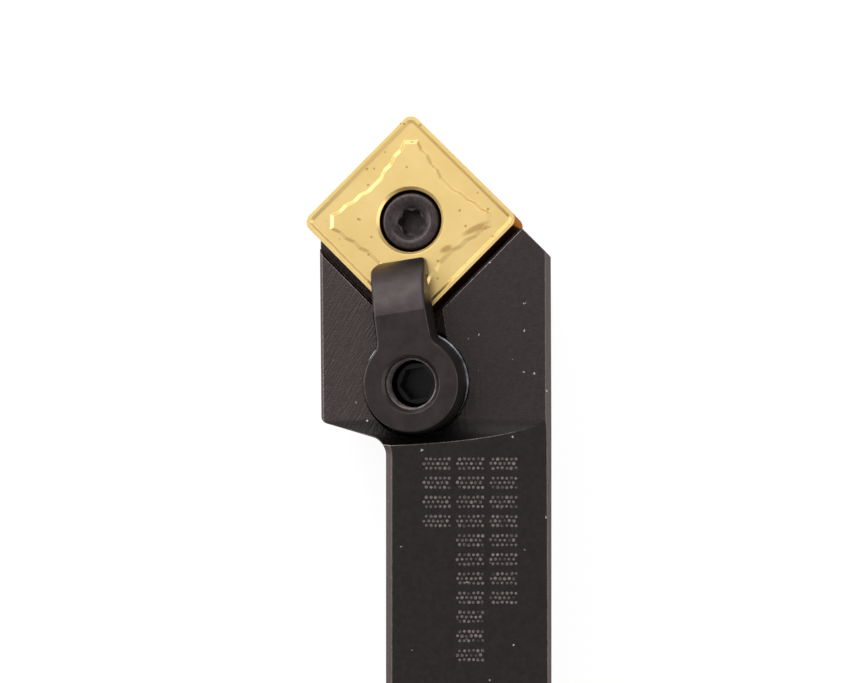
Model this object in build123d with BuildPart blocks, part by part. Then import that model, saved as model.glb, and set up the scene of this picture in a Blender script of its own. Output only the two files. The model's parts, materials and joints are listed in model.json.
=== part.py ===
"""Indexable turning cartridge, right hand, 45 degree approach, for a square negative insert.

A short shank carries a head with a tilted pocket.  The insert sits on a shim, a lock pin runs
through both, and a finger clamp with a differential screw holds the insert down.  One set screw
adjusts the cartridge across its seat and another along it.

Frame: origin on the bottom face, under the fixing hole and midway across the shank.
+X points to the back face, +Y to the cutting end, +Z up, with the rake face on top.
Sizes are in millimetres and degrees.
"""

import os
from math import cos, radians, sin, sqrt, tan

from build123d import *

os.makedirs("parts", exist_ok=True)

# Cartridge: the sizes that a holder's seat is made to
overall_length = 55.0  # rear end to the foremost cutting corner
functional_width = 20.0  # back face to the outermost cutting corner
tip_height = 12.0  # bottom face to the outermost cutting corner
body_height = 17.0
shank_width = 13.4
fixing_hole_from_rear = 16.5

# Insert: square, double-sided, with a centre hole
insert_size = 12.7
insert_thickness = 4.76
insert_corner_radius = 0.8
insert_hole_radius = 2.58
insert_hole_rim = 0.25
groove_land = 0.3
groove_depth = 0.2
groove_slope = 50.0  # outer side of the chip groove, from the insert's axis
island_slope_width = 0.3  # sloping side of the island between the grooves
island_corner_inset = 1.5  # edge to the island, near the corners
island_middle_inset = 2.25  # and at mid-side
island_corner_cut = 0.7
island_steps = 6  # steps of the island's outline on each half side
island_step_depth = 0.14

# The seat dips towards the cutting corners, which clears the flanks of a negative insert
side_tilt = 9.5  # dip towards -X
end_tilt = 6.5  # dip towards +Y
seat_turn = 0.6  # evens out the two cutting edges as seen from above

# Head
head_side_gap = 1.14  # cutting corner back to the side of the head
head_side_relief = 0.7  # lean of the head's side, in degrees
head_behind_clamp = 3.1  # clamp's axis back to the head's rear corner
head_drop = 0.1  # head surface below the rake face
flat_behind_clamp = 2.95  # clamp's axis back to the end of the flat head surface
head_cutter_radius = 2.4
shoulder_slope = 16.0
shoulder_fillet = 1.5
head_corner_round = 0.6
facet_setback = 0.35  # head behind the insert's inner front edge
flank_setback = 0.9  # head behind the main cutting edge
flank_lean = 2.5  # undercut of both front flanks
head_under_chamfer = 3.0
head_edge_break = 0.2
long_edge_chamfer = 0.48
long_edge_chamfer_rear = 0.28  # hand-ground, narrower towards the rear end
rear_edge_chamfer = 0.4

# Pocket
wall_relief = 0.58  # step of the walls above the contact band
contact_band = 2.3  # height of the insert's flank that the walls touch
pocket_edge_break = 0.2
corner_relief_radius = 1.1
seat_gap = 0.02  # insert and shim to the pocket walls

# Shim
shim_undersize = 0.5
shim_thickness = 3.18
shim_corner_radius = 1.0
shim_edge_chamfer = 0.25

# Lock pin
pin_head_clearance = 0.16  # pin's head to the insert's hole
pin_head_below_rake = 0.25
pin_head_round = 0.35
pin_collar_radius = 3.2
pin_collar_height = 1.1
pin_thread_radius = 2.35
pin_end_above_base = 0.7
pin_dish_radius = 1.65
pin_dish_depth = 0.25
lobe_socket_radius = 1.28
lobe_count = 6
lobe_radius = 0.42
lobe_socket_depth = 2.0

# Finger clamp: its axis leans to the outer side only
clamp_lean = 9.0
clamp_offset_side = 0.5  # boss axis from the insert's centre, towards the back face
clamp_setback = 0.1  # boss to the insert's inner corner
clamp_turn = 8.85  # the finger points to the outer side
clamp_top = 2.95  # above the head surface at the boss axis
clamp_boss_radius = 4.25
clamp_draft = 6.5
clamp_shoulder = -0.3  # height where the drafted sides meet the round foot
clamp_foot = -4.6
clamp_edge_round = 0.2
finger_width = 4.62  # at the top
finger_tip_from_centre = 3.2  # of the insert, along the finger
finger_underside = 0.6
finger_fillet = 1.0  # where the finger joins the boss
finger_narrowing = 0.4  # each side, towards the tip
finger_bend = 5.8  # boss axis to the crease where the nose turns down
finger_nose_drop = 0.95  # of the nose half way along
finger_nose_thickness = 0.5
finger_pad = 1.5  # length of the nose that bears on the insert
finger_outer_corner = 0.9  # rounding of the nose's two corners
finger_inner_corner = 0.4
clamp_hole_rim = 0.3

# Clamp well in the head
well_clearance = 0.15
well_depth = 8.0
slot_inner_clearance = 0.42  # finger to the slot's wall towards the back face
slot_outer_clearance = 0.2
slot_depth = 2.4

# Screws: plain cylinders at the size between thread crest and root
m5_radius = 2.05
thread_clearance = 0.05
clamp_screw_sunk = 3.4  # screw's top below the clamp's top
clamp_screw_length = 12.6
clamp_screw_neck = 1.6  # smooth neck between the two threads
hexagon_socket = 2.5  # across flats
hexagon_depth = 2.6
screw_end_chamfer = 0.4
tap_run_out = 1.0  # tapped hole past the screw's end
hole_edge_break = 0.25

# Fixing hole, and the two adjusting screws
fixing_hole_radius = 3.3
fixing_head_radius = 5.5
fixing_head_depth = 6.4
fixing_hole_height = 7.5
radial_screw_wall = 0.85  # between the fixing screw's head and the radial screw
radial_screw_length = 12.6
radial_screw_inset = 0.3  # tip inside the back face at rest
axial_screw_angle = 45.0  # from the shank's length
axial_screw_length = 6.5
axial_mouth_from_rear = 7.2
axial_screw_inset = 1.3  # tip inside the rear end at rest, along the screw
screw_tip_round = 1.6

# Places that follow from the sizes
back_x = shank_width / 2
rear_y = -fixing_hole_from_rear
front_y = overall_length - fixing_hole_from_rear
corner_reach = insert_size / sqrt(2) - insert_corner_radius * (sqrt(2) - 1)


def turned(plane, angle):
    """The same plane with its axes turned about its normal."""
    return Plane(plane.location * Location((0, 0, 0), (0, 0, angle)))


side_slope = tan(radians(side_tilt))
end_slope = tan(radians(end_tilt))
dip = Plane(origin=(0, 0, 0), x_dir=(1, 0, side_slope), z_dir=(-side_slope, end_slope, 1))
tilt = turned(dip, seat_turn)
rake = Plane(
    origin=(
        back_x - functional_width + corner_reach * tilt.x_dir.X,
        front_y - corner_reach * tilt.y_dir.Y,
        tip_height + corner_reach * tilt.x_dir.Z,
    ),
    x_dir=tilt.x_dir,
    z_dir=tilt.z_dir,
)
rake_side_view = Plane(origin=rake.origin, x_dir=rake.y_dir, z_dir=rake.x_dir)
pocket_floor = insert_thickness + shim_thickness
pin_head_radius = insert_hole_radius - pin_head_clearance

clamp_offset_back = insert_size / sqrt(2) + clamp_boss_radius + clamp_setback
head_length = corner_reach + clamp_offset_back + head_behind_clamp
head_flat = clamp_offset_back + flat_behind_clamp
clamp_lean_slope = tan(radians(clamp_lean))


def on_head(x, y):
    """Point of the head surface at this place."""
    rise = (x - rake.origin.X) * side_slope
    fall = (y - rake.origin.Y) * end_slope
    return (x, y, rake.origin.Z - head_drop + rise - fall)


clamp_foot_point = on_head(rake.origin.X + clamp_offset_side, rake.origin.Y - clamp_offset_back)
clamp_axis = Plane(
    origin=clamp_foot_point, x_dir=(1, 0, clamp_lean_slope), z_dir=(-clamp_lean_slope, 0, 1)
)
clamp_plane = turned(clamp_axis, clamp_turn)
clamp_side_view = Plane(
    origin=clamp_plane.origin, x_dir=clamp_plane.y_dir, z_dir=clamp_plane.x_dir
)
finger_reach = clamp_offset_back - finger_tip_from_centre
rake_at_tip = head_drop - finger_reach * end_slope  # height of the rake face there
well_radius = clamp_boss_radius + well_clearance
finger_foot_half = finger_width / 2 + (clamp_top - finger_underside) * tan(radians(clamp_draft))
slot_inner = finger_foot_half + slot_inner_clearance
slot_outer = finger_foot_half + slot_outer_clearance
radial_screw_ahead = fixing_head_radius + m5_radius + radial_screw_wall
far = 3 * body_height  # long enough to cut right through


def head_flank(angle, distance):
    """Plane facing this way at this distance from the insert's centre, undercut below."""
    facing = turned(rake, angle)
    lean = tan(radians(flank_lean))
    return Plane(
        origin=facing.origin + facing.x_dir * distance,
        x_dir=facing.y_dir,
        z_dir=facing.x_dir - facing.z_dir * lean,
    )


def pocket_outline(gap):
    """Square corner region open to the front, this far outside the insert's two inner edges."""
    side = 2 * insert_size
    corner = (insert_size / 2 + gap) * sqrt(2)
    with Locations((0, side / sqrt(2) - corner)):
        Rectangle(side, side, rotation=45)


def corner_square(size, radius):
    """Square standing on its corner, with rounded corners."""
    RectangleRounded(size, size, radius, rotation=45)


# Cartridge body: milled from one bar of alloy steel, hardened and blackened
head_rear_y = front_y - head_length
head_side_x = back_x - functional_width + head_side_gap
head_front_x = head_side_x - head_length * tan(radians(head_side_relief)) / 2
head_rear_x = head_side_x + head_length * tan(radians(head_side_relief)) / 2
shoulder_y = head_rear_y - (-back_x - head_rear_x) * tan(radians(shoulder_slope))

with BuildPart() as cartridge_body:
    with BuildSketch() as outline:
        with BuildLine():
            Polyline(
                (back_x, rear_y),
                (back_x, front_y),
                (head_front_x, front_y),
                (head_rear_x, head_rear_y),
                (-back_x, shoulder_y),
                (-back_x, rear_y),
                close=True,
            )
        make_face()
        shoulder_corner = outline.vertices().sort_by_distance((-back_x, shoulder_y, 0))[0]
        fillet(shoulder_corner, shoulder_fillet)
        rear_corner = outline.vertices().sort_by_distance((head_rear_x, head_rear_y, 0))[0]
        fillet(rear_corner, head_corner_round)
    extrude(amount=body_height)

    # relief under the head's outer side, for work in a bore
    under_side = Plane(origin=(head_side_x, 0, head_under_chamfer), z_dir=(-1, 0, -1))
    split(bisect_by=under_side, keep=Keep.BOTTOM)

    # rear end, and the shank's long edge on the outer side
    chamfer(cartridge_body.faces().sort_by(Axis.Y)[0].edges(), rear_edge_chamfer)
    outer_edges = cartridge_body.edges().filter_by(Axis.Y).group_by(Axis.Z)[-1]
    chamfer(outer_edges.sort_by(Axis.X)[0], long_edge_chamfer)

    # head surface, run out into the shank by the cutter's corner
    with BuildSketch(rake_side_view):
        with BuildLine():
            run_out = CenterArc(
                (-head_flat, head_cutter_radius - head_drop), head_cutter_radius, 180, 90
            )
            Polyline(
                run_out @ 1,
                (far, -head_drop),
                (far, far),
                (-head_flat - head_cutter_radius, far),
                run_out @ 0,
            )
        make_face()
    extrude(amount=far, both=True, mode=Mode.SUBTRACT)

    # long edge of the back face, ground by hand on the shank and on the head
    grind_slope = (long_edge_chamfer - long_edge_chamfer_rear) / overall_length
    shank_edge = (back_x, rear_y, body_height - long_edge_chamfer_rear)
    split(
        bisect_by=Plane(origin=shank_edge, z_dir=(1, grind_slope, 1)),
        keep=Keep.BOTTOM,
    )
    inner_edge = Plane(
        origin=on_head(back_x - long_edge_chamfer, front_y),
        z_dir=(1, end_slope, 1),
    )
    split(bisect_by=inner_edge, keep=Keep.BOTTOM)
    head_side_normal = Vector(-1, -tan(radians(head_side_relief)), 0).normalized()
    outer_edge = Plane(
        origin=on_head(head_rear_x + head_edge_break, head_rear_y),
        z_dir=rake.z_dir + head_side_normal,
    )
    split(bisect_by=outer_edge, keep=Keep.BOTTOM)

    # front flanks follow the insert
    split(bisect_by=head_flank(45, insert_size / 2 - facet_setback), keep=Keep.BOTTOM)
    split(bisect_by=head_flank(135, insert_size / 2 - flank_setback), keep=Keep.BOTTOM)

    # insert pocket, with relieved upper walls, a broken edge and a drilled corner
    with BuildSketch(rake.offset(-pocket_floor)):
        pocket_outline(seat_gap)
    extrude(amount=far, mode=Mode.SUBTRACT)
    with BuildSketch(rake.offset(contact_band - insert_thickness)):
        pocket_outline(wall_relief)
    extrude(amount=far, mode=Mode.SUBTRACT)
    with BuildSketch(rake.offset(-head_drop)):
        pocket_outline(wall_relief + pocket_edge_break)
    extrude(amount=-2 * pocket_edge_break, taper=45 / 2, mode=Mode.SUBTRACT)
    with BuildSketch(rake.offset(-pocket_floor)):
        with Locations((0, -insert_size / sqrt(2))):
            Circle(corner_relief_radius)
    extrude(amount=far, mode=Mode.SUBTRACT)

    # tapped hole of the lock pin, open below
    with BuildSketch(rake):
        Circle(pin_thread_radius + thread_clearance)
    extrude(amount=-far, mode=Mode.SUBTRACT)

    # well and slot of the clamp, and its tapped hole
    with BuildSketch(clamp_plane.offset(-well_depth)):
        Circle(well_radius)
    extrude(amount=far, mode=Mode.SUBTRACT)
    with BuildSketch(clamp_plane.offset(-slot_depth)):
        with Locations(((slot_inner - slot_outer) / 2, insert_size / 4)):
            Rectangle(slot_inner + slot_outer, insert_size / 2)
    extrude(amount=far, mode=Mode.SUBTRACT)
    with BuildSketch(clamp_plane.offset(-well_depth)):
        Circle(m5_radius + thread_clearance)
    tap_depth = clamp_screw_length + clamp_screw_sunk - clamp_top - well_depth + tap_run_out
    extrude(amount=-tap_depth, mode=Mode.SUBTRACT)

    # fixing hole, entered from the outer side
    with Locations(Plane(origin=(-back_x, 0, fixing_hole_height), z_dir=(-1, 0, 0))):
        CounterBoreHole(fixing_hole_radius, fixing_head_radius, fixing_head_depth)

    # tapped holes of the adjusting screws
    radial_axis = Plane(
        origin=(back_x - radial_screw_inset, radial_screw_ahead, fixing_hole_height),
        z_dir=(1, 0, 0),
    )
    with BuildSketch(radial_axis):
        Circle(m5_radius + thread_clearance)
    extrude(amount=far, both=True, mode=Mode.SUBTRACT)
    axial_direction = (sin(radians(axial_screw_angle)), -cos(radians(axial_screw_angle)), 0)
    axial_tip_x = -back_x + axial_mouth_from_rear * tan(radians(axial_screw_angle))
    axial_axis = Plane(
        origin=(axial_tip_x, rear_y, fixing_hole_height), x_dir=(0, 0, 1), z_dir=axial_direction
    ).offset(-axial_screw_inset)
    with BuildSketch(axial_axis):
        Circle(m5_radius + thread_clearance)
    extrude(amount=far / 2, both=True, mode=Mode.SUBTRACT)

    # broken edges where the holes come out whole on flat sides
    flat_sides = cartridge_body.faces().filter_by(Axis.X).sort_by(SortBy.AREA)[-2:]
    mouths = [edge for side in flat_sides for edge in side.edges() if edge.is_closed]
    chamfer(mouths, hole_edge_break)

# Shim: ground carbide seat under the insert
with BuildPart() as shim:
    with BuildSketch(rake.offset(-pocket_floor)):
        corner_square(insert_size - shim_undersize, shim_corner_radius)
        Circle(pin_head_radius + thread_clearance, mode=Mode.SUBTRACT)
    extrude(amount=shim_thickness)
    with BuildSketch(rake.offset(-insert_thickness)):
        Circle(pin_collar_radius + thread_clearance)
    extrude(amount=-pin_collar_height - thread_clearance, mode=Mode.SUBTRACT)
    top_rim = shim.faces().sort_by_distance(rake.origin)[0].outer_wire().edges()
    chamfer(top_rim, shim_edge_chamfer)

# Insert: pressed and coated carbide, the same on both faces
def island(spread):
    """The island between the chip grooves, its stepped outline moved outwards by this much."""
    half = insert_size / 2
    corner_inset = island_corner_inset - spread
    middle_inset = island_middle_inset - spread
    reach = half - island_corner_inset - island_corner_cut + spread / 2
    side = []
    for step in range(-island_steps, island_steps + 1):
        towards_corner = abs(step) / island_steps
        inset = middle_inset + (corner_inset - middle_inset) * towards_corner
        inset += island_step_depth * (step % 2)
        side.append(Vector(half - inset, reach * step / island_steps))
    corners = [point.rotate(Axis.Z, angle) for angle in (45, 135, 225, 315) for point in side]
    Polygon(*corners, align=None)


with BuildPart() as insert:
    with BuildSketch(rake):
        corner_square(insert_size, insert_corner_radius)
    extrude(amount=-insert_thickness)
    lower_face = Plane(origin=rake.origin, x_dir=rake.x_dir, z_dir=-rake.z_dir).offset(insert_thickness)
    for face_plane in (rake, lower_face):
        with BuildSketch(face_plane):
            corner_square(insert_size - 2 * groove_land, insert_corner_radius - groove_land)
        extrude(amount=-groove_depth, taper=groove_slope, mode=Mode.SUBTRACT)
        with BuildSketch(face_plane.offset(-groove_depth)):
            island(island_slope_width)
        with BuildSketch(face_plane):
            island(0)
        loft(ruled=True)
    with BuildSketch(rake):
        Circle(insert_hole_radius)
    extrude(amount=-insert_thickness, mode=Mode.SUBTRACT)
    rims = insert.edges().filter_by(GeomType.CIRCLE)
    rims = rims.filter_by(lambda edge: edge.radius > 2 * insert_corner_radius)
    chamfer(rims, insert_hole_rim)

# Lock pin: its thread pulls the collar onto the shim, its head centres the insert
pin_collar_seat = rake.offset(-insert_thickness - pin_collar_height)
pin_base = rake.origin.Z / rake.z_dir.Z  # length of the pin's axis down to the bottom face
with BuildPart() as lock_pin:
    with BuildSketch(pin_collar_seat):
        Circle(pin_thread_radius)
    extrude(amount=-(pin_base - insert_thickness - pin_collar_height - pin_end_above_base))
    with BuildSketch(pin_collar_seat):
        Circle(pin_collar_radius)
    extrude(amount=pin_collar_height - thread_clearance)
    with BuildSketch(pin_collar_seat):
        Circle(pin_head_radius)
    extrude(amount=insert_thickness + pin_collar_height - pin_head_below_rake)
    pin_top = lock_pin.faces().sort_by_distance(rake.origin)[0]
    fillet(pin_top.edges(), pin_head_round)
    with BuildSketch(rake.offset(-pin_head_below_rake)):
        Circle(pin_dish_radius)
    extrude(amount=-pin_dish_depth, taper=45, mode=Mode.SUBTRACT)
    with BuildSketch(rake.offset(-pin_head_below_rake)):
        Circle(lobe_socket_radius - lobe_radius)
        with PolarLocations(lobe_socket_radius - lobe_radius, lobe_count):
            Circle(lobe_radius)
    extrude(amount=-lobe_socket_depth, mode=Mode.SUBTRACT)

# Finger of the clamp: drafted sides, and a nose that turns down onto the insert
with BuildPart() as finger:
    finger_length = finger_reach + finger_pad
    underside = clamp_plane.offset(finger_underside)
    boss_draft = (finger_underside - clamp_shoulder) * tan(radians(clamp_draft))
    finger_corners = (
        (-finger_foot_half, 0),
        (finger_foot_half, 0),
        (finger_foot_half - finger_narrowing, finger_length),
        (finger_narrowing - finger_foot_half, finger_length),
    )
    nose_arc_middle = (finger_bend + finger_reach) / 2
    with BuildSketch(underside) as finger_outline:
        Circle(clamp_boss_radius - boss_draft)
        Polygon(*finger_corners, align=None)
        junctions = finger_outline.vertices().filter_by_position(
            Axis.Y, clamp_boss_radius / 2, clamp_boss_radius
        )
        fillet(junctions, finger_fillet)
    extrude(amount=clamp_top - finger_underside, taper=clamp_draft)
    with BuildSketch(underside):
        Polygon(*finger_corners, align=None)
    extrude(amount=rake_at_tip - finger_underside - finger_nose_thickness)
    with BuildSketch(underside):
        with Locations((0, (finger_reach - finger_pad) / 2)):
            Rectangle(far, finger_reach - finger_pad)
    extrude(amount=-far, mode=Mode.SUBTRACT)
    with BuildSketch(clamp_side_view):
        with BuildLine():
            nose = ThreePointArc(
                (finger_bend, clamp_top),
                (nose_arc_middle, clamp_top - finger_nose_drop),
                (finger_reach, rake_at_tip + finger_nose_thickness),
            )
            Polyline(
                nose @ 1,
                (finger_reach, -far),
                (far, -far),
                (far, far),
                (finger_bend, far),
                nose @ 0,
            )
        make_face()
    extrude(amount=far, both=True, mode=Mode.SUBTRACT)

# Finger clamp: the boss is round and slides in the well
with BuildPart() as clamp:
    with BuildSketch(clamp_plane.offset(clamp_foot)):
        Circle(clamp_boss_radius)
    extrude(amount=clamp_shoulder - clamp_foot)
    with BuildSketch(clamp_plane.offset(clamp_shoulder)):
        Circle(clamp_boss_radius)
    extrude(amount=clamp_top - clamp_shoulder, taper=clamp_draft)
    add(finger.part)
    # seat of the nose on the rake face
    with BuildSketch(rake.offset(seat_gap)):
        corner_square(insert_size, insert_corner_radius)
    extrude(amount=-insert_thickness, mode=Mode.SUBTRACT)
    nose_corner_height = rake_at_tip + finger_nose_thickness / 2
    for side, radius in ((-1, finger_outer_corner), (1, finger_inner_corner)):
        corner = clamp_plane.from_local_coords((side * finger_width / 2, finger_reach, nose_corner_height))
        fillet(clamp.edges().sort_by_distance(corner)[0], radius)
    top_edges = clamp.faces().sort_by_distance(clamp_plane.offset(clamp_top).origin)[0].edges()
    nose_middle = clamp_plane.from_local_coords((0, nose_arc_middle, clamp_top - finger_nose_drop))
    nose_edges = clamp.faces().sort_by_distance(nose_middle)[0].edges()
    soft_edges = clamp.edges().filter_by(
        lambda edge: (edge in top_edges) != (edge in nose_edges)
        and clamp_plane.to_local_coords(edge.center()).Z > finger_underside
    )
    fillet(soft_edges, clamp_edge_round)
    with BuildSketch(clamp_plane.offset(clamp_top)):
        Circle(m5_radius + thread_clearance)
    extrude(amount=clamp_foot - clamp_top, mode=Mode.SUBTRACT)
    clamp_circles = clamp.edges().filter_by(GeomType.CIRCLE)
    top_hole_edge = clamp_circles.sort_by_distance(clamp_plane.offset(clamp_top).origin)[0]
    chamfer(top_hole_edge, clamp_hole_rim)

# Clamp screw: opposite threads on its two ends, so one turn moves the clamp by two pitches
clamp_screw_top = clamp_plane.offset(clamp_top - clamp_screw_sunk)
with BuildPart() as clamp_screw:
    with BuildSketch(clamp_screw_top):
        Circle(m5_radius)
    extrude(amount=-clamp_screw_length)
    chamfer(clamp_screw.edges().filter_by(GeomType.CIRCLE), screw_end_chamfer)
    neck_middle = (clamp_foot - well_depth) / 2
    with BuildSketch(clamp_plane.offset(neck_middle - clamp_screw_neck / 2)):
        Circle(m5_radius + thread_clearance)
        Circle(m5_radius - screw_end_chamfer, mode=Mode.SUBTRACT)
    extrude(amount=clamp_screw_neck, mode=Mode.SUBTRACT)
    with BuildSketch(clamp_screw_top):
        RegularPolygon(hexagon_socket / 2, 6, major_radius=False)
    extrude(amount=-hexagon_depth, mode=Mode.SUBTRACT)

# Adjusting screws: hexagon socket set screws with domed ends
screws = {}
for name, axis, length in (
    ("radial_adjusting_screw", radial_axis, radial_screw_length),
    ("axial_adjusting_screw", axial_axis, axial_screw_length),
):
    with BuildPart() as screw:
        with BuildSketch(axis):
            Circle(m5_radius)
        extrude(amount=-length)
        tip, mouth = screw.edges().filter_by(GeomType.CIRCLE).sort_by_distance(axis.origin)
        fillet(tip, screw_tip_round)
        chamfer(mouth, screw_end_chamfer)
        with BuildSketch(axis.offset(-length)):
            RegularPolygon(hexagon_socket / 2, 6, major_radius=False)
        extrude(amount=hexagon_depth, mode=Mode.SUBTRACT)
    screws[name] = screw

for finished, name in (
    (cartridge_body, "cartridge_body"),
    (shim, "shim"),
    (insert, "insert"),
    (lock_pin, "lock_pin"),
    (clamp, "clamp"),
    (clamp_screw, "clamp_screw"),
    (screws["radial_adjusting_screw"], "radial_adjusting_screw"),
    (screws["axial_adjusting_screw"], "axial_adjusting_screw"),
):
    finished.part.label = name
    export_step(finished.part, f"parts/{name}.step")
    print(name, finished.part.is_valid, round(finished.part.volume, 1), finished.part.bounding_box().size)
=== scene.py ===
"""Indexable turning cartridge with its insert, shim, lock pin, finger clamp and set screws."""

import json
import random
from math import cos, pi, radians, sin

import bmesh
import bpy
from mathutils import Matrix, Vector


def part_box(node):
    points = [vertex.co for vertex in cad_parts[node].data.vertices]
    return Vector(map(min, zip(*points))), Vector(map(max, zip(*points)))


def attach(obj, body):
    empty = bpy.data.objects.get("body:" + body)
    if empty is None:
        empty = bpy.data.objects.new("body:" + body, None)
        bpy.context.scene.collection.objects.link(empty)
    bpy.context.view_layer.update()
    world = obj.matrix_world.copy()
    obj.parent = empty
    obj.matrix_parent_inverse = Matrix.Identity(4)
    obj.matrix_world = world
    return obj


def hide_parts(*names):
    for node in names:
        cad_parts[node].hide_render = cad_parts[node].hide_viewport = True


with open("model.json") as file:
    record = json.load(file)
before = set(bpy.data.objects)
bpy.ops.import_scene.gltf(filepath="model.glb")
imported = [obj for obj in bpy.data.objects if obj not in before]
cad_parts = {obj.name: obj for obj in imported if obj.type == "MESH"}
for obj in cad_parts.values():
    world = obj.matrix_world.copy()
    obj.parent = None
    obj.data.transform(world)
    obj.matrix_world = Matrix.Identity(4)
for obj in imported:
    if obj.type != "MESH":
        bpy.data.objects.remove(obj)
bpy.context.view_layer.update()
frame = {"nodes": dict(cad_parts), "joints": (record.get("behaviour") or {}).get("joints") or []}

# Camera: it looks straight down on the head from 300 mm above the rake face.
# The shank runs out of the lower edge of the view.
mm = 0.001
camera = bpy.data.objects.new("camera", bpy.data.cameras.new("camera"))
camera.location = (-3.54 * mm, 19.996 * mm, 313 * mm)
camera.data.sensor_width = 36
camera.data.lens = 155.02
camera.data.clip_start = 0.01
bpy.context.scene.collection.objects.link(camera)
bpy.context.scene.camera = camera
bpy.context.scene.view_settings.view_transform = "Standard"


# Studio: a pale table, a white room, a broad soft lamp at the upper left, a smaller one above
# and a weaker one at the right, low enough to light the broken edges of the dark steel.
def linear(colour):
    """An sRGB hex value as linear red, green, blue and alpha."""
    parts = [int(colour[i : i + 2], 16) / 255 for i in (1, 3, 5)]
    curve = [c / 12.92 if c <= 0.04045 else ((c + 0.055) / 1.055) ** 2.4 for c in parts]
    return (*curve, 1.0)


def add(tree, kind, links=None, **settings):
    """Adds a shader node with its settings, and values or links for its inputs."""
    made = tree.nodes.new("ShaderNode" + kind)
    for name, value in settings.items():
        setattr(made, name, value)
    for socket, value in (links or {}).items():
        if isinstance(value, bpy.types.NodeSocket):
            tree.links.new(value, made.inputs[socket])
        else:
            made.inputs[socket].default_value = value
    return made


def finish_object(name, mesh):
    """Puts a bmesh into a new object at the origin."""
    data = bpy.data.meshes.new(name)
    mesh.to_mesh(data)
    mesh.free()
    made = bpy.data.objects.new(name, data)
    bpy.context.scene.collection.objects.link(made)
    return made


def seeing_rays(tree):
    """One for rays that show a surface: from the camera, reflected or passed through."""
    path = add(tree, "LightPath")
    seen = add(
        tree,
        "Math",
        {0: path.outputs["Is Camera Ray"], 1: path.outputs["Is Glossy Ray"]},
        operation="ADD",
    )
    return add(
        tree, "Math", {0: seen.outputs[0], 1: path.outputs["Is Transmission Ray"]}, operation="ADD"
    ).outputs[0]


# the room looks white, and lights the part at under half of that
room = bpy.data.worlds.new("white_room")
room.use_nodes = True
tree = room.node_tree
tree.nodes.clear()
white = add(tree, "Background", {"Color": linear("#ffffff"), "Strength": 1.0})
dim = add(tree, "Background", {"Color": linear("#ffffff"), "Strength": 0.45})
shown = add(tree, "MixShader", {0: seeing_rays(tree), 1: dim.outputs[0], 2: white.outputs[0]})
add(tree, "OutputWorld", {0: shown.outputs[0]})
bpy.context.scene.world = room

table_mesh = bmesh.new()
bmesh.ops.create_grid(table_mesh, x_segments=1, y_segments=1, size=0.6)
table = finish_object("table", table_mesh)
paper = bpy.data.materials.new("matt_white_paper")
paper.use_nodes = True
tree = paper.node_tree
tree.nodes.clear()
glow_share = add(tree, "Math", {0: seeing_rays(tree), 1: 0.8}, operation="MULTIPLY")
matt = add(tree, "BsdfDiffuse", {"Color": linear("#f4f3f2")})
glow = add(tree, "Emission", {"Color": linear("#ffffff"), "Strength": 1.12})
sheet = add(tree, "MixShader", {0: glow_share.outputs[0], 1: matt.outputs[0], 2: glow.outputs[0]})
add(tree, "OutputMaterial", {0: sheet.outputs[0]})
table.data.materials.append(paper)


def lamp(name, azimuth, elevation, width, height, radiance):
    """A soft panel lamp 350 mm away, aimed at the middle of the head."""
    away = 350 * mm
    aim = Vector((-3.5, 20, 13)) * mm
    towards = Vector((cos(radians(azimuth)), sin(radians(azimuth)), 0)) * cos(radians(elevation))
    towards.z = sin(radians(elevation))
    data = bpy.data.lights.new(name, "AREA")
    data.shape = "RECTANGLE"
    data.size, data.size_y = width, height
    data.energy = radiance * pi * width * height
    made = bpy.data.objects.new(name, data)
    made.location = aim + towards * away
    made.rotation_euler = towards.to_track_quat("Z", "Y").to_euler()
    made.visible_camera = False
    bpy.context.scene.collection.objects.link(made)


lamp("key_lamp", 147, 17, 0.60, 0.22, 4.2)
lamp("top_lamp", 98, 42, 0.30, 0.20, 2.6)
lamp("fill_lamp", -8, 17, 0.40, 0.22, 2.2)

# Cartridge body: alloy steel, milled all over, hardened and blackened.
# Its top carries three fields of peened dots, and its edges are rubbed by handling and lightened as a
# painted highlight.
seat_turn = 0.6
clamp_turn = 8.85
joints = {joint["name"]: joint for joint in frame["joints"]}


def joint_frame(joint, turn):
    """Frame on a joint's axis, its X leaning in the XZ plane and turned about the axis."""
    up = Vector(joints[joint]["axis"]).normalized()
    across = Vector((up.z, 0, -up.x)).normalized()
    across.rotate(Matrix.Rotation(radians(turn), 3, up))
    ahead = up.cross(across)
    turned = Matrix((across, ahead, up)).transposed().to_4x4()
    return Matrix.Translation(joints[joint]["pos_m"]) @ turned


rake = joint_frame("lock_pin_turn", seat_turn)
clamp_frame = joint_frame("clamp_screw_turn", clamp_turn)


def start_material(name):
    """A new material with its Principled shader and the object coordinates in millimetres."""
    made = bpy.data.materials.new(name)
    made.use_nodes = True
    tree = made.node_tree
    tree.nodes.clear()
    shader = add(tree, "BsdfPrincipled")
    add(tree, "OutputMaterial", {0: shader.outputs[0]})
    place = add(tree, "TexCoord")
    scaled = add(tree, "Mapping", {0: place.outputs["Object"], "Scale": (1000, 1000, 1000)})
    return made, tree, shader, scaled.outputs[0]


def mottle(tree, noise, dark, light, spread=0.15):
    """A colour that wanders between two tones with a noise, which keeps near its middle."""
    tone = add(tree, "ValToRGB", {0: noise.outputs[0]})
    first, last = tone.color_ramp.elements
    first.position, last.position = 0.5 - spread, 0.5 + spread
    first.color, last.color = linear(dark), linear(light)
    return tone.outputs[0]


def in_frame(tree, matrix):
    """Object coordinates in millimetres in a tilted frame."""
    place = add(tree, "TexCoord")
    return add(
        tree,
        "Mapping",
        {
            0: place.outputs["Object"],
            "Location": matrix.to_translation(),
            "Rotation": matrix.to_euler(),
            "Scale": (mm, mm, mm),
        },
        vector_type="TEXTURE",
    ).outputs[0]
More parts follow.
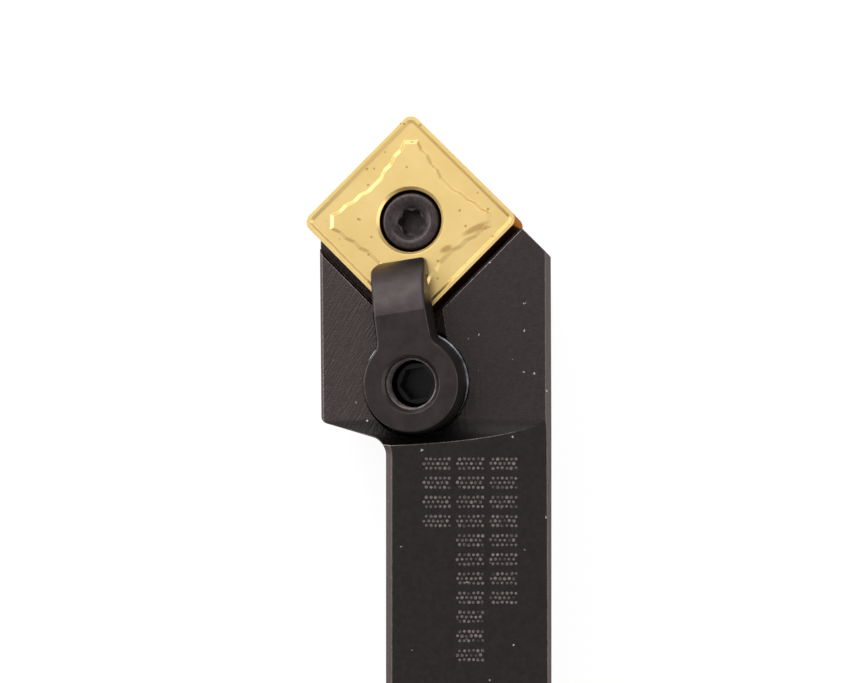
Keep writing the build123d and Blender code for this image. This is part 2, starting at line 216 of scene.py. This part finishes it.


# Black oxide on milled steel: a thin warm-black skin, satin, over the cutter's fine lines,
# with small bright nicks and rubbed sharp edges; painted highlights on the edges, sideways bevels and
# head, painted shade on the run-out.
black_oxide, tree, shader, place = start_material("black_oxide_milled_steel")
shader.inputs["Metallic"].default_value = 0.85
fine = add(tree, "TexNoise", {"Vector": place, "Scale": 2.5, "Detail": 5.0, "Roughness": 0.7})
tone = mottle(tree, fine, "#241f1f", "#2b2626")

# cutter lines 0.15 to 0.25 mm apart: slanting on the outer half of the head, straight elsewhere
split_x = add(tree, "SeparateXYZ", {0: place})
outer_half = add(
    tree,
    "MapRange",
    {"Value": split_x.outputs[0], "From Min": -5.0, "From Max": -3.0, "To Min": 1.0, "To Max": 0.0},
)
slanting = add(
    tree,
    "Mapping",
    {0: place, "Rotation": (0, 0, radians(-30)), "Scale": (0.13, 1.6, 1.0)},
    vector_type="TEXTURE",
)
straight = add(tree, "Mapping", {0: place, "Scale": (0.25, 2.0, 1.0)}, vector_type="TEXTURE")
slant_lines = add(tree, "TexNoise", {"Vector": slanting.outputs[0], "Scale": 1.0, "Detail": 2.0})
straight_lines = add(tree, "TexNoise", {"Vector": straight.outputs[0], "Scale": 1.0, "Detail": 2.0})
slant_height = add(tree, "Math", {0: slant_lines.outputs[0], 1: 1.4}, operation="MULTIPLY")
lines = add(
    tree,
    "Mix",
    {0: outer_half.outputs[0], 2: straight_lines.outputs[0], 3: slant_height.outputs[0]},
    data_type="FLOAT",
)
grain = add(tree, "TexNoise", {"Vector": place, "Scale": 7.0, "Detail": 3.0})
relief = add(tree, "Math", {0: lines.outputs[0], 1: grain.outputs[0]}, operation="ADD")
corner = add(tree, "Bevel", {"Radius": 0.13 * mm}, samples=8)
bumped = add(
    tree,
    "Bump",
    {"Strength": 0.6, "Distance": 0.05 * mm, "Height": relief.outputs[0], "Normal": corner.outputs[0]},
)
tree.links.new(bumped.outputs[0], shader.inputs["Normal"])

# nicks: an uneven bright speck of 0.1 mm here and there
uneven = add(tree, "TexNoise", {"Vector": place, "Scale": 5.0, "Detail": 2.0})
ragged = add(
    tree,
    "VectorMath",
    {0: uneven.outputs["Color"], 1: (0.35, 0.35, 0.35), 2: place},
    operation="MULTIPLY_ADD",
)
cells = add(tree, "TexVoronoi", {"Vector": ragged.outputs[0], "Scale": 1.1, "Randomness": 1.0})
lottery = add(tree, "SeparateColor", {0: cells.outputs["Color"]})
chosen = add(tree, "Math", {0: lottery.outputs[0], 1: 0.2}, operation="LESS_THAN")
small = add(
    tree,
    "MapRange",
    {"Value": cells.outputs["Distance"], "From Min": 0.03, "From Max": 0.12, "To Min": 1.0, "To Max": 0.0},
)
nick = add(tree, "Math", {0: small.outputs[0], 1: chosen.outputs[0]}, operation="MULTIPLY")

# sharp edges rubbed through the black, and lightened along every edge as a painted highlight
surface = add(tree, "NewGeometry")
agree = add(
    tree, "VectorMath", {0: corner.outputs[0], 1: surface.outputs["Normal"]}, operation="DOT_PRODUCT"
)
rubbed_and_lit_edges = add(
    tree,
    "MapRange",
    {"Value": agree.outputs["Value"], "From Min": 0.99, "From Max": 0.92, "To Min": 0.0, "To Max": 1.0},
)
patchy = add(
    tree,
    "MapRange",
    {"Value": fine.outputs[0], "From Min": 0.35, "From Max": 0.65, "To Min": 0.3, "To Max": 0.9},
)
rubbed_and_lit_edges = add(tree, "Math", {0: rubbed_and_lit_edges.outputs[0], 1: patchy.outputs[0]}, operation="MULTIPLY")

# bevels, ground by hand, face sideways at 45 degrees; the lighter grey on them is a painted highlight
slope = add(tree, "SeparateXYZ", {0: surface.outputs["Normal"]})
level = add(tree, "Math", {0: slope.outputs[2], 1: 0.707, 2: 0.1}, operation="COMPARE")
sideways = add(tree, "Math", {0: slope.outputs[0]}, operation="ABSOLUTE")
sideways = add(tree, "Math", {0: sideways.outputs[0], 1: 0.3}, operation="GREATER_THAN")
bevel_face = add(tree, "Math", {0: level.outputs[0], 1: sideways.outputs[0]}, operation="MULTIPLY")
# the head faces slightly outwards: painted light, a lighter tone on it, stronger on its outer half and
# none on the run-out
painted_head_light = add(
    tree,
    "MapRange",
    {"Value": slope.outputs[0], "From Min": -0.08, "From Max": -0.14, "To Min": 0.0, "To Max": 0.26},
)
painted_light_outwards = add(tree, "MapRange", {"Value": outer_half.outputs[0], "To Min": 0.35, "To Max": 1.0})
painted_head_light = add(tree, "Math", {0: painted_head_light.outputs[0], 1: painted_light_outwards.outputs[0]}, operation="MULTIPLY")
run_out = add(
    tree,
    "MapRange",
    {"Value": slope.outputs[1], "From Min": 0.14, "From Max": 0.2, "To Min": 1.0, "To Max": 0.0},
)
painted_head_light = add(tree, "Math", {0: painted_head_light.outputs[0], 1: run_out.outputs[0]}, operation="MULTIPLY")
painted_head_light_and_shade = add(tree, "Mix", {0: painted_head_light.outputs[0], 6: tone, 7: linear("#564c4b")}, data_type="RGBA")
# painted shade: the run-out fillet, tilted up towards +Y, is darkened
painted_shade_on_run_out = add(
    tree,
    "MapRange",
    {"Value": slope.outputs[1], "From Min": 0.16, "From Max": 0.3, "To Min": 0.0, "To Max": 0.75},
)
painted_head_light_and_shade = add(
    tree,
    "Mix",
    {0: painted_shade_on_run_out.outputs[0], 6: painted_head_light_and_shade.outputs[2], 7: linear("#120f0f")},
    data_type="RGBA",
)
painted_bevel_light = add(
    tree, "Mix", {0: bevel_face.outputs[0], 6: painted_head_light_and_shade.outputs[2], 7: linear("#453c3a")}, data_type="RGBA"
)
worn_and_lit_edges = add(
    tree, "Mix", {0: rubbed_and_lit_edges.outputs[0], 6: painted_bevel_light.outputs[2], 7: linear("#857c7a")}, data_type="RGBA"
)
skin = add(
    tree, "Mix", {0: nick.outputs[0], 6: worn_and_lit_edges.outputs[2], 7: linear("#c4bdba")}, data_type="RGBA"
)
tree.links.new(skin.outputs[2], shader.inputs["Base Color"])
satin = add(
    tree,
    "MapRange",
    {"Value": fine.outputs[0], "From Min": 0.3, "From Max": 0.7, "To Min": 0.36, "To Max": 0.46},
)
tree.links.new(satin.outputs[0], shader.inputs["Roughness"])
frame["nodes"]["cartridge_body"].data.materials[0] = black_oxide

# Peened fields: three plain fields of dots, struck into the top of the shank by a marking
# machine. Each dot is a shallow dish with a raised lip, down to bare grey metal.
dot_radius = 0.13
dot_pitch = 0.37
shank_top = 17.0
fields = [(-2.6, 10.5, 4), (0.1, 10.5, 11), (2.8, 10.5, 8)]
dots_across = 6
rows_in_block = 3
block_pitch = 1.55
chance = random.Random(7)
marks = bmesh.new()
for middle, top, blocks in fields:
    for block in range(blocks):
        for row in range(rows_in_block):
            for column in range(dots_across):
                stagger = dot_pitch / 4 * (-1) ** row
                x = middle + (column - (dots_across - 1) / 2) * dot_pitch + stagger
                y = top - block * block_pitch - row * dot_pitch
                x, y = x + chance.uniform(-0.02, 0.02), y + chance.uniform(-0.02, 0.02)
                disc = bmesh.ops.create_circle(
                    marks,
                    cap_ends=True,
                    segments=10,
                    radius=dot_radius * chance.uniform(0.8, 1.1),
                    matrix=Matrix.Translation((x, y, shank_top - 0.001)),
                )
                face = disc["verts"][0].link_faces[0]
                bmesh.ops.inset_region(marks, faces=[face], thickness=0.04, depth=0.016)
                bmesh.ops.inset_region(marks, faces=[face], thickness=0.035, depth=-0.012)
bmesh.ops.scale(marks, vec=(mm, mm, mm), verts=marks.verts)
peened = finish_object("peened_fields", marks)
bare_dots, tree, shader, place = start_material("bare_steel_in_peened_dots")
shader.inputs["Metallic"].default_value = 0.9
dull = add(tree, "TexNoise", {"Vector": place, "Scale": 2.0, "Detail": 4.0})
tone = mottle(tree, dull, "#3a3434", "#7c7472")
tree.links.new(tone, shader.inputs["Base Color"])
rough = add(tree, "MapRange", {"Value": dull.outputs[0], "To Min": 0.35, "To Max": 0.5})
tree.links.new(rough.outputs[0], shader.inputs["Roughness"])
peened.data.materials.append(bare_dots)
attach(peened, "cartridge")

# Shim: sintered carbide, surface-ground grey, seen as a thin band under the insert.
# Fine straight scratches run one way from the grinding wheel.
ground_carbide, tree, shader, place = start_material("ground_carbide")
shader.inputs["Metallic"].default_value = 0.9
own = in_frame(tree, rake)
scratch_place = add(
    tree, "Mapping", {0: own, "Rotation": (0, 0, radians(20)), "Scale": (12, 0.4, 1)}
)
scratches = add(tree, "TexNoise", {"Vector": scratch_place.outputs[0], "Scale": 1.0, "Detail": 3.0})
cloud = add(tree, "TexNoise", {"Vector": place, "Scale": 1.2, "Detail": 4.0})
grey = mottle(tree, cloud, "#5d5a58", "#75716e")
tree.links.new(grey, shader.inputs["Base Color"])
rough = add(tree, "MapRange", {"Value": scratches.outputs[0], "To Min": 0.28, "To Max": 0.46})
tree.links.new(rough.outputs[0], shader.inputs["Roughness"])
bumped = add(tree, "Bump", {"Strength": 0.3, "Distance": 0.01 * mm, "Height": scratches.outputs[0]})
tree.links.new(bumped.outputs[0], shader.inputs["Normal"])
frame["nodes"]["shim"].data.materials[0] = ground_carbide

# Insert: pressed and sintered carbide under a titanium nitride coat.
# The coat is a soft gold; the steep flanks and rims are painted a browner orange as shade.
nitride, tree, shader, place = start_material("titanium_nitride_coat")
shader.inputs["Metallic"].default_value = 1.0
shader.inputs["Specular Tint"].default_value = linear("#dcae7c")
own = in_frame(tree, rake)
drift = add(tree, "TexNoise", {"Vector": own, "Scale": 0.3, "Detail": 3.0, "Roughness": 0.5})
gold = mottle(tree, drift, "#c7ac70", "#cdb379")

# pinholes and stains of the coat, 0.1 to 0.3 mm across
pits = add(tree, "TexVoronoi", {"Vector": own, "Scale": 1.4, "Randomness": 1.0})
lottery = add(tree, "SeparateColor", {0: pits.outputs["Color"]})
chosen = add(tree, "Math", {0: lottery.outputs[1], 1: 0.3}, operation="LESS_THAN")
pits_and_painted_shade = add(
    tree,
    "MapRange",
    {"Value": pits.outputs["Distance"], "From Min": 0.1, "From Max": 0.2, "To Min": 0.7, "To Max": 0.0},
)
pits_and_painted_shade = add(tree, "Math", {0: pits_and_painted_shade.outputs[0], 1: chosen.outputs[0]}, operation="MULTIPLY")

# two brown streaks of painted shade on the island's inner side
for middle, half_size in (((5.4, -0.75, 0), (1.3, 0.3, 4.0)), ((3.0, -2.4, 0), (0.6, 0.3, 4.0))):
    drawn = add(
        tree,
        "Mapping",
        {0: own, "Location": middle, "Rotation": (0, 0, radians(27)), "Scale": half_size},
        vector_type="TEXTURE",
    )
    away = add(tree, "VectorMath", {0: drawn.outputs[0]}, operation="LENGTH")
    painted_shade_streak = add(
        tree,
        "MapRange",
        {
            "Value": away.outputs["Value"],
            "From Min": 0.5,
            "From Max": 1.1,
            "To Min": 0.6,
            "To Max": 0.0,
        },
    )
    pits_and_painted_shade = add(tree, "Math", {0: pits_and_painted_shade.outputs[0], 1: painted_shade_streak.outputs[0]}, operation="MAXIMUM")
stained_and_shaded = add(tree, "Mix", {0: pits_and_painted_shade.outputs[0], 6: gold, 7: linear("#8a5f2a")}, data_type="RGBA")

# flanks: painted shade, a browner orange where the surface stands up along the insert's axis
facing = add(tree, "NewGeometry")
along = add(
    tree,
    "VectorMath",
    {0: facing.outputs["Normal"], 1: rake.to_3x3().col[2]},
    operation="DOT_PRODUCT",
)
upright = add(tree, "Math", {0: along.outputs["Value"]}, operation="ABSOLUTE")
painted_flank_shade = add(
    tree,
    "MapRange",
    {"Value": upright.outputs[0], "From Min": 0.25, "From Max": 0.6, "To Min": 1.0, "To Max": 0.0},
)
coated_and_shaded = add(
    tree,
    "Mix",
    {0: painted_flank_shade.outputs[0], 6: stained_and_shaded.outputs[2], 7: linear("#96602f")},
    data_type="RGBA",
)
tree.links.new(coated_and_shaded.outputs[2], shader.inputs["Base Color"])
pressed = add(tree, "TexNoise", {"Vector": own, "Scale": 5.0, "Detail": 4.0})
rough = add(tree, "MapRange", {"Value": pressed.outputs[0], "To Min": 0.3, "To Max": 0.45})
tree.links.new(rough.outputs[0], shader.inputs["Roughness"])
hone = add(tree, "Bevel", {"Radius": 0.05 * mm}, samples=6)
bumped = add(
    tree,
    "Bump",
    {
        "Strength": 0.2,
        "Distance": 0.02 * mm,
        "Height": pressed.outputs[0],
        "Normal": hone.outputs[0],
    },
)
tree.links.new(bumped.outputs[0], shader.inputs["Normal"])
frame["nodes"]["insert"].data.materials[0] = nitride

# Lock pin: turned from tool steel and blackened. Its thread draws the collar onto the shim,
# and its head has a coned mouth and a six-lobe socket for the key.
pin_profile = [
    (0.0, -12.99),
    (1.95, -12.99),
    (2.35, -12.59),
    (2.35, -6.5),
    (2.05, -6.3),
    (2.05, -5.86),
    (3.1, -5.86),
    (3.2, -5.76),
    (3.2, -4.91),
    (3.1, -4.81),
    (2.42, -4.81),
    (2.42, -0.6),
    (2.39, -0.46),
    (2.31, -0.35),
    (2.2, -0.28),
    (2.07, -0.25),
    (1.68, -0.25),
    (1.6, -0.29),
    (1.12, -0.72),
    (0.0, -0.72),
]
turning_steps = 96


def turn(profile):
    """A closed shape turned about Z from its half outline."""
    made = bmesh.new()
    points = [made.verts.new((radius, 0, height)) for radius, height in profile]
    edges = [made.edges.new(pair) for pair in zip(points, points[1:])]
    bmesh.ops.spin(
        made,
        geom=points + edges,
        cent=(0, 0, 0),
        axis=(0, 0, 1),
        angle=2 * pi,
        steps=turning_steps,
        use_merge=True,
    )
    bmesh.ops.remove_doubles(made, verts=made.verts, dist=0.0005)
    bmesh.ops.recalc_face_normals(made, faces=made.faces)
    return made


def thread_groove(root, crest, pitch, start, end, hand=1):
    """The helical groove that a threading die cuts, as a closed shape to take away."""
    made = bmesh.new()
    root_half, painted_flank_shade = pitch * 0.14, (crest - root) * 0.577
    mouth_half = root_half + painted_flank_shade
    outline = [(root, -root_half), (root, root_half), (crest, mouth_half), (crest, -mouth_half)]
    points = [made.verts.new((radius, 0, start + height)) for radius, height in outline]
    loop = [made.edges.new((points[i - 1], points[i])) for i in range(4)]
    steps_per_turn = 40
    steps = int((end - start) / pitch * steps_per_turn)
    bmesh.ops.spin(
        made,
        geom=points + loop,
        cent=(0, 0, 0),
        axis=(0, 0, hand),
        dvec=(0, 0, pitch / steps_per_turn),
        angle=2 * pi * steps / steps_per_turn,
        steps=steps,
    )
    bmesh.ops.holes_fill(made, edges=made.edges, sides=4)
    bmesh.ops.recalc_face_normals(made, faces=made.faces)
    return made


def place_in(mesh, matrix):
    """Scales a bmesh from millimetres and moves it into a frame of the assembly."""
    bmesh.ops.scale(mesh, vec=(mm, mm, mm), verts=mesh.verts)
    bmesh.ops.transform(mesh, matrix=matrix, verts=mesh.verts)
    return mesh


def take_away(piece, tools):
    """Cuts the tools out of a piece and leaves a plain mesh with sharp edges marked."""
    for tool in tools:
        cut = piece.modifiers.new("cut", "BOOLEAN")
        cut.object, cut.operation, cut.solver = tool, "DIFFERENCE", "EXACT"
    graph = bpy.context.evaluated_depsgraph_get()
    result = bpy.data.meshes.new_from_object(piece.evaluated_get(graph))
    piece.modifiers.clear()
    for tool in tools:
        bpy.data.objects.remove(tool)
    if "custom_normal" in result.attributes:
        result.attributes.remove(result.attributes["custom_normal"])
    result.shade_smooth()
    result.set_sharp_from_angle(angle=radians(32))
    piece.data = result


pin = finish_object("lock_pin_turned", place_in(turn(pin_profile), rake))
socket = bmesh.new()
bmesh.ops.create_circle(socket, cap_ends=True, segments=96, radius=1.0)
for point in socket.verts:
    lobe = cos(3 * point.co.xy.angle_signed(Vector((1, 0)))) ** 2
    point.co *= 0.9 + 0.24 * lobe**0.8
deep = bmesh.ops.extrude_face_region(socket, geom=socket.faces[:])
bottom = [made for made in deep["geom"] if isinstance(made, bmesh.types.BMVert)]
bmesh.ops.translate(socket, vec=(0, 0, -2.7), verts=bottom)
bmesh.ops.recalc_face_normals(socket, faces=socket.faces)
socket_tool = finish_object("socket_tool", place_in(socket, rake))
pin_thread = thread_groove(root=2.05, crest=2.6, pitch=0.8, start=-13.4, end=-6.4)
pin_groove = finish_object("groove_tool", place_in(pin_thread, rake))
take_away(pin, [socket_tool, pin_groove])

# turned black oxide: fine rings 0.14 mm apart
black_pin, tree, shader, place = start_material("black_oxide_turned_pin")
shader.inputs["Metallic"].default_value = 0.85
own = in_frame(tree, rake)
ring_distance = add(tree, "VectorMath", {0: own, 1: (1.0, 1.0, 0.0)}, operation="MULTIPLY")
ring_radius = add(tree, "VectorMath", {0: ring_distance.outputs[0]}, operation="LENGTH")
rings = add(tree, "Math", {0: ring_radius.outputs["Value"], 1: 2 * pi / 0.14}, operation="MULTIPLY")
rings = add(tree, "Math", {0: rings.outputs[0]}, operation="SINE")
speckle = add(tree, "TexNoise", {"Vector": own, "Scale": 3.0, "Detail": 4.0})
tone = mottle(tree, speckle, "#312b2c", "#3e3737")
tree.links.new(tone, shader.inputs["Base Color"])
rough = add(tree, "MapRange", {"Value": speckle.outputs[0], "To Min": 0.26, "To Max": 0.4})
tree.links.new(rough.outputs[0], shader.inputs["Roughness"])
bumped = add(tree, "Bump", {"Strength": 0.15, "Distance": 0.004 * mm, "Height": rings.outputs[0]})
tree.links.new(bumped.outputs[0], shader.inputs["Normal"])
pin.data.materials.clear()
pin.data.materials.append(black_pin)
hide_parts("lock_pin")
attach(pin, "lock_pin")

# Finger clamp: a precision casting, blackened, its edges tumbled soft.
# The skin keeps a fine sand-like grain, darker than the milled body.
black_casting, tree, shader, place = start_material("black_oxide_casting")
shader.inputs["Metallic"].default_value = 0.85
own = in_frame(tree, clamp_frame)
skin_noise = add(tree, "TexNoise", {"Vector": own, "Scale": 0.8, "Detail": 5.0, "Roughness": 0.6})
sand = add(tree, "TexNoise", {"Vector": own, "Scale": 6.0, "Detail": 3.0})
tone = mottle(tree, skin_noise, "#2d2727", "#363030")
tree.links.new(tone, shader.inputs["Base Color"])
rough = add(tree, "MapRange", {"Value": sand.outputs[0], "To Min": 0.3, "To Max": 0.44})
tree.links.new(rough.outputs[0], shader.inputs["Roughness"])
soft = add(tree, "Bevel", {"Radius": 0.15 * mm}, samples=8)
bumped = add(
    tree,
    "Bump",
    {
        "Strength": 0.25,
        "Distance": 0.02 * mm,
        "Height": sand.outputs[0],
        "Normal": soft.outputs[0],
    },
)
tree.links.new(bumped.outputs[0], shader.inputs["Normal"])
frame["nodes"]["clamp"].data.materials[0] = black_casting

# The clamp's tapped hole shows its thread above the screw, as a fine ridge round the wall.
# The thread is a little lighter than the casting: partly crests rubbed by the screw, partly a painted
# highlight on the hole's wall.
ridge_pitch, ridge_turns, steps_per_turn = 0.8, 3.2, 40
ridge = bmesh.new()
outline = [(2.16, -0.19), (2.16, 0.19), (1.95, 0.06), (1.95, -0.06)]
points = [ridge.verts.new((radius, 0, -0.05 + height)) for radius, height in outline]
loop = [ridge.edges.new((points[i - 1], points[i])) for i in range(4)]
bmesh.ops.spin(
    ridge,
    geom=points + loop,
    cent=(0, 0, 0),
    axis=(0, 0, 1),
    dvec=(0, 0, ridge_pitch / steps_per_turn),
    angle=2 * pi * ridge_turns,
    steps=round(ridge_turns * steps_per_turn),
)
bmesh.ops.holes_fill(ridge, edges=ridge.edges, sides=4)
bmesh.ops.recalc_face_normals(ridge, faces=ridge.faces)
clamp_thread = finish_object("clamp_thread", place_in(ridge, clamp_frame))
clamp_thread.data.shade_smooth()
clamp_thread.data.set_sharp_from_angle(angle=radians(32))
rubbed_and_lit_thread, tree, shader, place = start_material("steel_thread_rubbed_and_lit")
shader.inputs["Metallic"].default_value = 0.9
wear = add(tree, "TexNoise", {"Vector": place, "Scale": 1.6, "Detail": 4.0})
tone = mottle(tree, wear, "#3c3635", "#5d5553")
tree.links.new(tone, shader.inputs["Base Color"])
rough = add(tree, "MapRange", {"Value": wear.outputs[0], "To Min": 0.4, "To Max": 0.6})
tree.links.new(rough.outputs[0], shader.inputs["Roughness"])
clamp_thread.data.materials.append(rubbed_and_lit_thread)
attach(clamp_thread, "clamp")

# The clamp's round foot is ground to slide in its well, which leaves a bare bright lip
# round the top of the ground part.
lip = bmesh.new()
outline = [(4.1, 0.11), (4.33, -0.02), (4.33, -0.5), (4.1, -0.5)]
points = [lip.verts.new((radius, 0, height)) for radius, height in outline]
loop = [lip.edges.new((points[i - 1], points[i])) for i in range(4)]
bmesh.ops.spin(
    lip,
    geom=points + loop,
    cent=(0, 0, 0),
    axis=(0, 0, 1),
    angle=2 * pi,
    steps=turning_steps,
    use_merge=True,
)
bmesh.ops.recalc_face_normals(lip, faces=lip.faces)
foot_lip = finish_object("clamp_foot_lip", place_in(lip, clamp_frame))
foot_lip.data.shade_smooth()
foot_lip.data.set_sharp_from_angle(angle=radians(25))
ground_steel, tree, shader, place = start_material("bare_ground_steel")
shader.inputs["Metallic"].default_value = 1.0
own = in_frame(tree, clamp_frame)
smear = add(tree, "TexNoise", {"Vector": own, "Scale": 0.5, "Detail": 3.0})
tone = mottle(tree, smear, "#3f4043", "#8d9196", spread=0.1)
tree.links.new(tone, shader.inputs["Base Color"])
rough = add(tree, "MapRange", {"Value": smear.outputs[0], "To Min": 0.25, "To Max": 0.4})
tree.links.new(rough.outputs[0], shader.inputs["Roughness"])
foot_lip.data.materials.append(ground_steel)
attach(foot_lip, "clamp")

# Screws: bought-in socket screws with rolled threads, black oxide kept wet with oil.
# The clamp's screw has opposite threads on its two ends, with a smooth neck between.
black_screw, tree, shader, place = start_material("oiled_black_screw")
shader.inputs["Metallic"].default_value = 0.85
shader.inputs["Coat Weight"].default_value = 0.15
shader.inputs["Coat Roughness"].default_value = 0.25
oil = add(tree, "TexNoise", {"Vector": place, "Scale": 1.5, "Detail": 4.0})
tone = mottle(tree, oil, "#110f0f", "#1f1c1c")
tree.links.new(tone, shader.inputs["Base Color"])
rough = add(tree, "MapRange", {"Value": oil.outputs[0], "To Min": 0.3, "To Max": 0.5})
tree.links.new(rough.outputs[0], shader.inputs["Roughness"])


def screw_frame(node, direction):
    """Frame at the middle of a screw, its Z along the screw."""
    low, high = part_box(node)
    turned = Vector(direction).to_track_quat("Z", "Y").to_matrix().to_4x4()
    return Matrix.Translation((low + high) / 2) @ turned


# node, body it moves with, its frame, and each thread's start, end and hand
screws = [
    ("clamp_screw", "clamp_screw", clamp_frame, [(-5.7, -0.2, 1), (-13.4, -6.9, -1)]),
    (
        "radial_adjusting_screw",
        "radial_screw",
        screw_frame("radial_adjusting_screw", (1, 0, 0)),
        [(-6.6, 5.2, 1)],
    ),
    (
        "axial_adjusting_screw",
        "axial_screw",
        screw_frame("axial_adjusting_screw", (1, -1, 0)),
        [(-3.6, 2.2, 1)],
    ),
]
thread_root, past_crest, thread_pitch = 1.78, 2.3, 0.8
for node, body, own_frame, runs in screws:
    blank = bmesh.new()
    blank.from_mesh(frame["nodes"][node].data)
    bmesh.ops.remove_doubles(blank, verts=blank.verts, dist=0.5e-6)
    screw = finish_object(node + "_threaded", blank)
    grooves = []
    for start, end, hand in runs:
        groove = thread_groove(thread_root, past_crest, thread_pitch, start, end, hand)
        grooves.append(finish_object("groove_tool", place_in(groove, own_frame)))
    take_away(screw, grooves)
    screw.data.materials.clear()
    screw.data.materials.append(black_screw)
    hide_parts(node)
    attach(screw, body)
